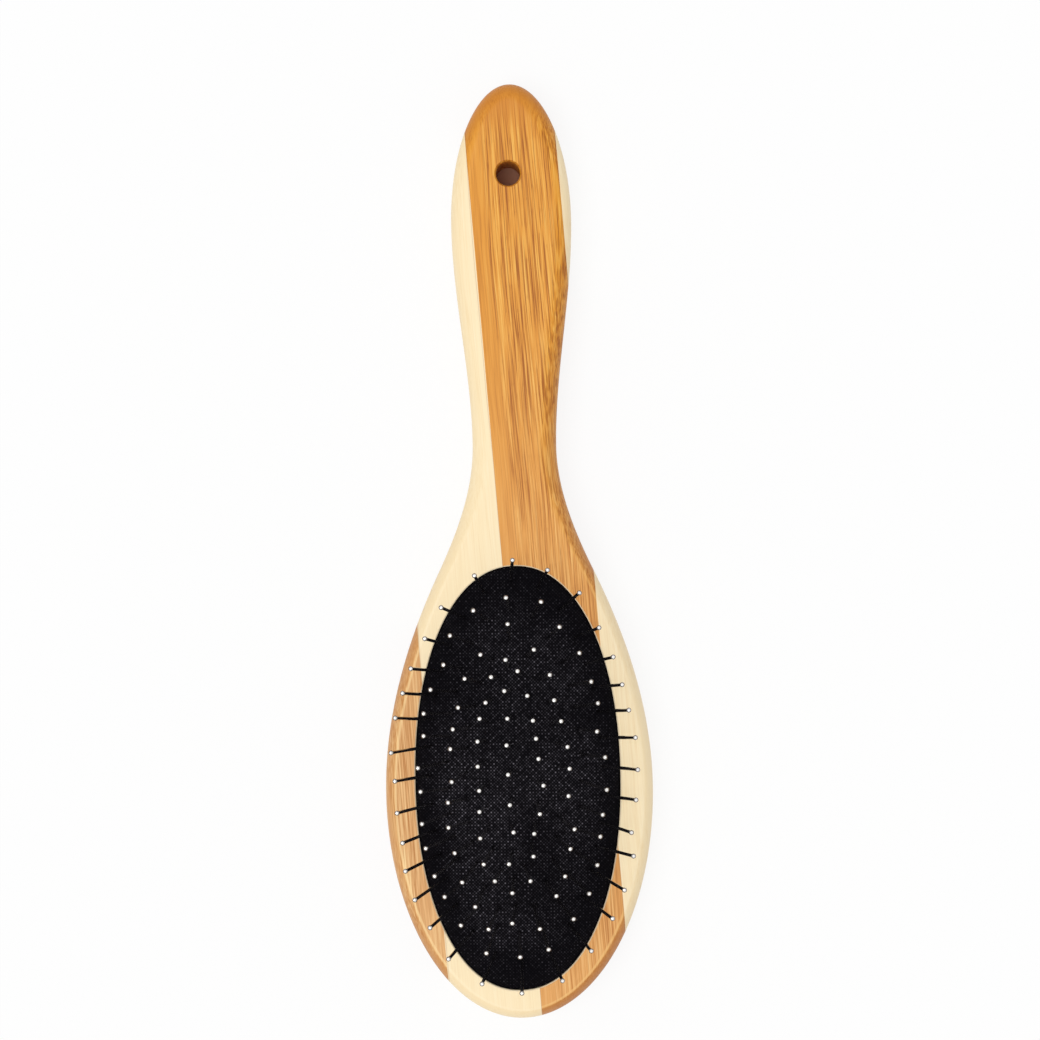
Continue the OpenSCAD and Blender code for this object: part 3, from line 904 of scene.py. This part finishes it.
# %% The cushion's loops
SKIN_Z = BODY_T - 0.5
SEAT_GAP = 0.1
DOME_H, DOME_POWER = 6.0, 2.8
ROUND = 384
CROWN_ROWS, CROWN_START, CROWN_TOP = 84, 0.975, 0.008
LINING_SHARES = (0.02, 0.2, 0.4, 0.58, 0.74, 0.86, 0.9)
WALL_DROP, LINING_DROP, SHOULDER_STEPS = 0.5, 0.63, 6


def dome_height(share):
    return DOME_H * (1 - np.minimum(share, 1.0) ** DOME_POWER)


def dome_loop(share):
    loop = oval_loop(CUSHION_A * share, CUSHION_B * share, 0.0, ROUND)
    loop[:, 2] = SKIN_Z + dome_height(share)
    return loop


def lining_loop(share):
    """The crown's inner side, one skin's thickness below it along the crown's own normal."""
    loop = dome_loop(share)
    x, y = loop[:, 0] - CUSHION_X, loop[:, 1] - CUSHION_Y
    slope = DOME_H * DOME_POWER * share ** (DOME_POWER - OVAL_POWER)
    pull = [np.sign(v) * (np.abs(v) / half) ** (OVAL_POWER - 1) / half
            for v, half in ((x, CUSHION_A), (y, CUSHION_B))]
    normal = np.column_stack([slope * pull[0], slope * pull[1], np.ones(ROUND)])
    return loop - SKIN_T * normal / np.linalg.norm(normal, axis=1)[:, None]


def rim_loop(out, z):
    return oval_loop(CUSHION_A + out - SEAT_GAP, CUSHION_B + out - SEAT_GAP, z, ROUND)


def shoulder_loops():
    """From the upright wall into the crown, on a small curve."""
    start, corner = rim_loop(0, SKIN_Z - WALL_DROP), rim_loop(0, SKIN_Z)
    end = dome_loop(CROWN_START)
    return [(1 - t) ** 2 * start + 2 * t * (1 - t) * corner + t * t * end
            for t in np.linspace(0, 1, SHOULDER_STEPS + 1)[:-1]]


# Of each loop from the lining to the wall: how far out it goes, and its height.
BEAD = [(-SKIN_T, SKIN_Z - LINING_DROP * SKIN_T), (-SKIN_T, GROOVE_BOTTOM + SEAT_GAP),
        (GROOVE_IN, GROOVE_BOTTOM + SEAT_GAP), (GROOVE_IN, GROOVE_TOP - SEAT_GAP),
        (0, GROOVE_TOP - SEAT_GAP)]
cushion = loft("cushion_cloth", (
    [lining_loop(share) for share in LINING_SHARES] + [rim_loop(out, z) for out, z in BEAD]
    + shoulder_loops()
    + [dome_loop(share) for share in np.linspace(CROWN_START, CROWN_TOP, CROWN_ROWS)]))
print("cushion faces:", len(cushion.data.polygons))

# %% [markdown]
# Pressed by air.
# The rim and the flat head of each pin hold the real skin, and the air under it lifts the rest. A
# cloth simulation does just that: a sheet of the crown's shape, cut a few percent large, is held at
# the rim and at the feet, which sit a little low, and pressed from below for twenty steps. It is
# twenty times as large as life, because Blender's cloth is at home at the size of clothes.

# %% The skin under pressure
CELL, AIR_SCALE, AIR_STEPS = 1.1, 20.0, 20
FOOT_SINK, FOOT_REACH, RIM_SHARE = 0.30, 0.85, 0.965
AIR_FORCE, SPARE_CLOTH, MOST_LIFT = 4.0, 0.03, 0.7
SHEET_MASS, SHEET_BEND, SHEET_QUALITY = 0.2, 0.3, 6


def skin_grid():
    """Places across and along the cushion, and the crown's height over each crossing, in mm."""
    half_x, half_y = math.ceil(CUSHION_A / CELL), math.ceil(CUSHION_B / CELL)
    x = CUSHION_X + CELL * np.arange(-half_x, half_x + 1)
    y = CUSHION_Y + CELL * np.arange(-half_y, half_y + 1)
    gx, gy = np.meshgrid(x, y)
    share = (np.abs((gx - CUSHION_X) / CUSHION_A) ** OVAL_POWER
             + np.abs((gy - CUSHION_Y) / CUSHION_B) ** OVAL_POWER) ** (1 / OVAL_POWER)
    return x, y, np.stack([gx, gy, dome_height(share)], axis=2), share


def under_air(feet):
    """How far each crossing of the grid moves from the smooth crown, in mm."""
    x, y, rest, share = skin_grid()
    rows, columns = share.shape
    to_feet = [np.hypot(rest[..., 0] - foot[0], rest[..., 1] - foot[1]) for foot in feet]
    far = np.min(to_feet, axis=0)
    start = rest.copy()
    start[..., 2] -= FOOT_SINK * (far < FOOT_REACH)
    corner = np.arange(rows * columns).reshape(rows, columns)
    faces = np.stack([corner[:-1, :-1], corner[:-1, 1:], corner[1:, 1:], corner[1:, :-1]], axis=2)
    sheet = mesh_object("air_sheet", start.reshape(-1, 3) * AIR_SCALE, faces.reshape(-1, 4).tolist())
    held = sheet.vertex_groups.new(name="held")
    fixed = (share > RIM_SHARE) | (far < FOOT_REACH)
    held.add(corner[fixed].tolist(), 1.0, "REPLACE")
    cloth_step = sheet.modifiers.new("air", "CLOTH")
    settings = cloth_step.settings
    settings.vertex_group_mass = held.name
    settings.quality, settings.mass = SHEET_QUALITY, SHEET_MASS
    settings.use_pressure, settings.uniform_pressure_force = True, AIR_FORCE
    settings.shrink_min = -SPARE_CLOTH
    settings.bending_stiffness = SHEET_BEND
    settings.effector_weights.gravity = 0
    cloth_step.collision_settings.use_collision = False
    cloth_step.point_cache.frame_start, cloth_step.point_cache.frame_end = 1, AIR_STEPS
    for step in range(1, AIR_STEPS + 1):
        scene.frame_set(step)
    pressed = sheet.evaluated_get(bpy.context.evaluated_depsgraph_get()).data
    moved = points_of(pressed).reshape(rows, columns, 3) / MM / AIR_SCALE - rest
    scene.frame_set(1)
    bpy.data.objects.remove(sheet)
    length = np.linalg.norm(moved, axis=2, keepdims=True)
    return x, y, moved * np.minimum(1.0, MOST_LIFT / np.maximum(length, 1e-9))


def soft_weights(t):
    """Shares of four neighbours in a row for a place at t, 0 to 1, between the middle two."""
    return (1 - t) ** 3 / 6, (3 * t**3 - 6 * t**2 + 4) / 6, (3 * t * (1 + t - t * t) + 1) / 6, t**3 / 6


feet = [foot / MM for node in PIN_NODES for foot, _ in places[node]]
grid_x, grid_y, moved = under_air(feet)
at = points_of(cushion.data) / MM
on_crown = np.arange(len(at)) >= len(at) - ROUND * CROWN_ROWS
column = np.clip((at[:, 0] - grid_x[0]) / CELL, 0, len(grid_x) - 1.001)
row = np.clip((at[:, 1] - grid_y[0]) / CELL, 0, len(grid_y) - 1.001)
i, j = column.astype(int), row.astype(int)
wide = np.pad(moved, ((1, 2), (1, 2), (0, 0)))
shift = sum(u[:, None] * v[:, None] * wide[j + b, i + a]
            for a, u in enumerate(soft_weights(column - i))
            for b, v in enumerate(soft_weights(row - j)))
cushion.data.vertices.foreach_set("co", ((at + shift * on_crown[:, None]) * MM).ravel())
cushion.data.update()
lift = moved[..., 2]
levels = lift.min(), np.median(lift[lift > 0.01]), lift.max()
print("lift, mm: lowest, middle, highest:", [round(float(level), 2) for level in levels])

# %% [markdown]
# Dimples.
# Close to each pin the cloth puckers round the wire, finer than the sheet's own cells. Geometry
# Nodes measure how far each point of the skin is from the nearest foot, and sink it by a bell curve
# of that distance.

# %% The dimple tree
UPRIGHT = (0.5, 0.8)


def dimple_tree():
    group, tree, (skin, feet, depth, reach) = new_group(
        "dimples", {"Skin": "Geometry", "Feet": "Object", "Depth": "Float", "Reach": "Float"})
    points = tree.add("GeometryNodeObjectInfo", {"transform_space": "RELATIVE"}, {"Object": feet},
                      out="Geometry")
    far = tree.add("GeometryNodeProximity", {"target_element": "POINTS"}, {0: points}, out="Distance")
    normal = tree.add("GeometryNodeInputNormal")
    upright = tree.parts(normal)[2].over(*UPRIGHT)
    near = far / reach
    bell = math.e ** (-(near * near))
    lift = -depth * bell * upright
    push = tree.add("ShaderNodeVectorMath", {"operation": "SCALE"}, {0: normal, 3: lift})
    moved = tree.add("GeometryNodeSetPosition", {}, {"Geometry": skin, "Offset": push})
    tree.add("NodeGroupOutput", {}, [moved], out=None)
    return group


DIMPLES = {"Depth": 0.26 * MM, "Reach": 0.95 * MM}
all_feet = mesh_object("all_feet", feet, [])
dimpled = grown(cushion, dimple_tree(), {**DIMPLES, "Feet": all_feet})
dimpled.name = "cushion_cloth"
cushion = placed("cushion_cloth", dimpled)
bpy.data.objects.remove(all_feet)
print("cushion height, mm:", round(max(v.co.z for v in dimpled.vertices) / MM, 2))

# %% [markdown]
# The cloth.
# The face is a plain weave of thick black nylon yarn: each goes over one and under the next, so the
# crowns stand in a chequered pattern, 0.8 mm from yarn to yarn. A product of two sines gives them, and
# its sign tells the lengthwise yarn from the crosswise one. The glints the crowns catch are painted
# into the colour as light spots, brighter on the lengthwise yarn. Loose filaments where four yarns meet
# get painted glints too, so the cloth looks diagonal from afar. Each spot draws its own brightness,
# and the painted glints are brighter in some larger patches than in others. The pattern lies along the
# cloth, on a UV map that counts its yarns.

# %% The weave
YARN = 0.79
WANDER, WANDER_SCALE = 0.5, 0.11
SPOT_SHARPNESS, YARN_DEPTH = 4.5, 0.12
# The lengthwise and crosswise colours are painted glints on the black ground.
GROUND, LENGTHWISE_GLINT, CROSSWISE_GLINT = srgb(5, 4, 7), srgb(150, 146, 156), srgb(132, 128, 138)
CROSSWISE_SHARE, BETWEEN_SHARE, LEAST_GLINT = 0.6, 0.45, 0.15
# How bright the painted glints are on the face and in patches, and how much painted shade dims them at
# the rim.
FACE_LIT, PATCH_LIT, RIM_SHADE = 0.34, 0.40, 0.72
PATCH_SCALE, PATCHES, RIM_SHADE_RANGE = (0.045, 0.035, 4.0), (0.36, 0.62), (0.66, 0.94)


def count_yarns(obj):
    layer = obj.data.uv_layers.new(name="weave")
    corners = np.zeros(len(obj.data.loops), np.int32)
    obj.data.loops.foreach_get("vertex_index", corners)
    counts = points_of(obj.data)[corners, :2] / (YARN * MM)
    layer.data.foreach_set("uv", counts.ravel())


def cloth():
    material, tree, shader = new_material("cushion_cloth")
    counts = tree.parts(tree.add("ShaderNodeUVMap", {"uv_map": "weave"}))
    scaled = tree.vector(counts[0] * WANDER_SCALE, counts[1] * WANDER_SCALE, 0.0)
    wander = tree.noise(scaled, detail=1.0) * WANDER
    u, v = (counts[0] + wander) * math.pi, (counts[1] - wander) * math.pi
    crossing = u.sine() * v.sine()
    over = crossing.most(0.0) ** SPOT_SHARPNESS
    under = (-crossing).most(0.0) ** SPOT_SHARPNESS
    between = (u.cosine() * v.cosine()).size() ** SPOT_SHARPNESS

    def glints(shift):
        """A brightness for each spot of a chequer, which is shifted by a share of a yarn."""
        cell = tree.vector((u / math.pi + shift).floor(), (v / math.pi + shift).floor(), shift)
        draw = tree.add("ShaderNodeTexWhiteNoise", {"noise_dimensions": "3D"}, {"Vector": cell})
        return LEAST_GLINT + (1 - LEAST_GLINT) * draw * draw

    glint, spark = glints(0.0), glints(0.5)
    across, along, slice_at = PATCH_SCALE
    patch = tree.noise(tree.vector(counts[0] * across, counts[1] * along, slice_at), detail=3.0)
    # Painted shade: the glints fade towards the rim, where the cloth turns steep.
    rim_shade = pocket_share(tree).over(*RIM_SHADE_RANGE)
    lit = (FACE_LIT + PATCH_LIT * patch.over(*PATCHES)) * (1 - RIM_SHADE * rim_shade)
    # Painted glints: light spots on the crowns and where four yarns meet.
    colour = tree.blend(over * glint * lit, GROUND, LENGTHWISE_GLINT)
    colour = tree.blend(under * glint * lit * CROSSWISE_SHARE, colour, CROSSWISE_GLINT)
    colour = tree.blend(between * spark * lit * BETWEEN_SHARE, colour, CROSSWISE_GLINT)
    height = tree.add("ShaderNodeBump", {}, {
        "Strength": 0.5, "Distance": YARN_DEPTH * MM, "Height": crossing.size()})
    feed(shader, Base_Color=colour, Roughness=0.78 + 0.12 * glint, Normal=height,
         Specular_IOR_Level=0.035)
    return material


count_yarns(cushion)
cushion.data.materials.clear()
cushion.data.materials.append(cloth())
for polygon in cushion.data.polygons:
    polygon.use_smooth = True
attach(cushion, "root")
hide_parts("cushion")
print("cushion yarns across:", round(2 * CUSHION_A / YARN))

# %% [markdown]
# The floor.
# The brush lies on a plain white sheet. The camera and the steel see mostly its own white, mixed
# with a little of its lit surface, so it stays white and still keeps the shadow. Under the hang hole
# the sheet is painted brown, with no white of its own, as painted shade for the deep, narrow hole.

# %% The floor
FLOOR_HALF, FLOOR_Z = 3000.0, -0.02
OWN_WHITE = 0.86
SHADE_FROM, SHADE_TO = 4.5, 5.5
HOLE_SHADE, SHEET_WHITE = srgb(198, 148, 122), srgb(246, 246, 246)


def sheet():
    material = bpy.data.materials.new("white_sheet")
    tree = emptied(material)
    here = tree.parts(tree.add("ShaderNodeTexCoord", out="Object"))
    dx, dy = here[0] - HOLE_SHIFT * MM, here[1] - HOLE_Y * MM
    clear = (dx * dx + dy * dy).over((SHADE_FROM * MM) ** 2, (SHADE_TO * MM) ** 2)
    # Painted shade: under the hang hole the sheet is brown.
    tone = tree.blend(clear, HOLE_SHADE, SHEET_WHITE)
    matt = tree.add("ShaderNodeBsdfDiffuse", {}, {"Color": tone})
    glow = tree.add("ShaderNodeEmission", {}, {"Color": (1, 1, 1, 1), "Strength": 1.0})
    both = tree.add("ShaderNodeMixShader", {}, (seen_directly(tree) * OWN_WHITE * clear, matt, glow))
    tree.add("ShaderNodeOutputMaterial", {}, {"Surface": both}, out=None)
    return material


corners = [(x * FLOOR_HALF, y * FLOOR_HALF, FLOOR_Z) for x, y in ((-1, -1), (1, -1), (1, 1), (-1, 1))]
floor = mesh_object("floor", corners, [[0, 1, 2, 3]])
floor.data.materials.append(sheet())
print("floor half width, mm:", FLOOR_HALF)
